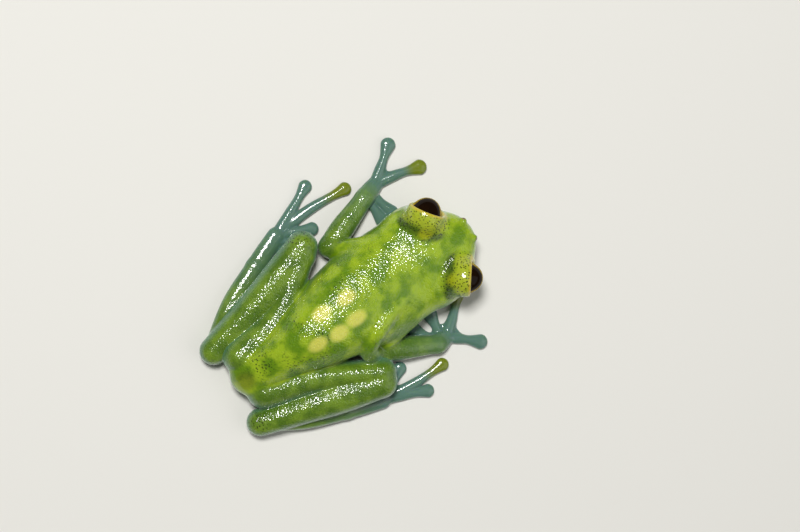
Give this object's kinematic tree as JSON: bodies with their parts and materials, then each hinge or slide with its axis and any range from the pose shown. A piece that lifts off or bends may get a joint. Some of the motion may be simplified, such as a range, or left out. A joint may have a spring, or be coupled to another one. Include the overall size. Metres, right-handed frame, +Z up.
{
  "type": "glass frog",
  "caption": "Life-size glass frog crouched flat on its belly, hind legs folded beside the body, hands and feet spread, big eyes turned forwards.",
  "frame": {"origin": "middle of the small flat under the belly that the frog rests on, at floor level, on its middle line", "axes": "+Z up, -Y towards the snout, +X towards the frog's left side"},
  "size_m": [0.0225, 0.0263, 0.0063],
  "materials": {
    "skin_back": "wet translucent yellow-green skin over pale flesh, finely grained, with pale yellow spots",
    "skin_limbs": "wet translucent green skin, clearer and bluish along the edges",
    "skin_digits": "wet almost clear bluish-green skin with orange-yellow discs",
    "eye": "wet glossy eye, a very wide brown-black pupil with a thin gold rim"
  },
  "bodies": {
    "root": {"torso": "skin_back", "head": "skin_back", "eye_left": "eye", "eye_right": "eye", "thigh_left": "skin_limbs", "shank_left": "skin_limbs", "tarsus_left": "skin_limbs", "foot_left": "skin_digits", "toe_left_1": "skin_digits", "toe_left_2": "skin_digits", "toe_left_3": "skin_digits", "toe_left_4": "skin_digits", "toe_left_5": "skin_digits", "upper_arm_left": "skin_back", "forearm_left": "skin_limbs", "hand_left": "skin_digits", "finger_left_1": "skin_digits", "finger_left_2": "skin_digits", "finger_left_3": "skin_digits", "finger_left_4": "skin_digits", "thigh_right": "skin_limbs", "shank_right": "skin_limbs", "tarsus_right": "skin_limbs", "foot_right": "skin_digits", "toe_right_1": "skin_digits", "toe_right_2": "skin_digits", "toe_right_3": "skin_digits", "toe_right_4": "skin_digits", "toe_right_5": "skin_digits", "upper_arm_right": "skin_back", "forearm_right": "skin_limbs", "hand_right": "skin_digits", "finger_right_1": "skin_digits", "finger_right_2": "skin_digits", "finger_right_3": "skin_digits", "finger_right_4": "skin_digits"}
  },
  "joints": []
}
